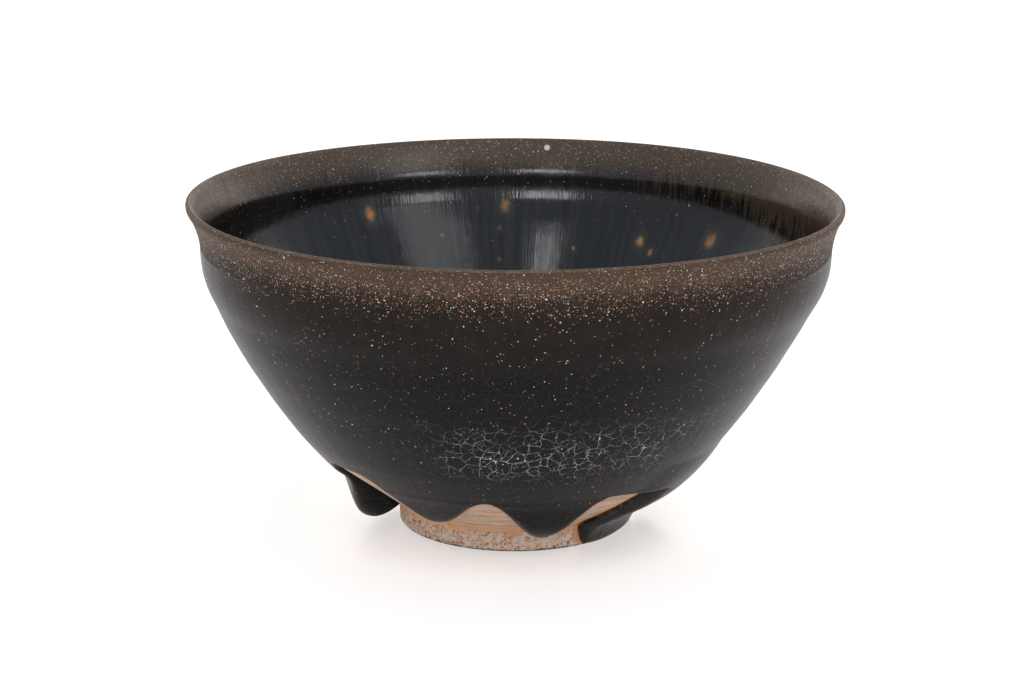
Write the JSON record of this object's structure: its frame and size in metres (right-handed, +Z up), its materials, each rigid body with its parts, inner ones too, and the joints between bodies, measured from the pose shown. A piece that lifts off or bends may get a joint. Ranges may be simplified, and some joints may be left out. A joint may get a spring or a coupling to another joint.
{
  "type": "matcha bowl",
  "caption": "Conical stoneware tea bowl with an indented lip, a turned foot ring and a thick dark glaze that stops above the foot in heavy drips.",
  "frame": {"origin": "centre of the circle that the foot ring stands on, under the bowl's axis", "axes": "+Z up along the bowl's axis; -Y is the front, the side with two drips to the left and the broad run to the right"},
  "size_m": [0.124, 0.124, 0.0631],
  "materials": {
    "clay": "bare, matte, pinkish tan stoneware",
    "black_glaze": "semi-gloss black-brown glaze with a pale crackle",
    "lip_glaze": "satin brown glaze with fine cream and orange specks",
    "inner_glaze": "glossy black glaze with fine vertical streaks",
    "run_glaze": "thin, slightly rough black glaze"
  },
  "bodies": {
    "root": {"clay_body": "clay", "outer_glaze": "black_glaze", "lip_glaze": "lip_glaze", "inner_glaze": "inner_glaze", "glaze_foot_run": "run_glaze", "glaze_drip_left": "black_glaze", "glaze_drip_front_left": "black_glaze", "glaze_drip_front": "black_glaze", "glaze_drip_back_right": "black_glaze", "glaze_drip_back": "black_glaze", "glaze_drip_back_left": "black_glaze", "glaze_drip_left_rear": "black_glaze"}
  },
  "joints": []
}
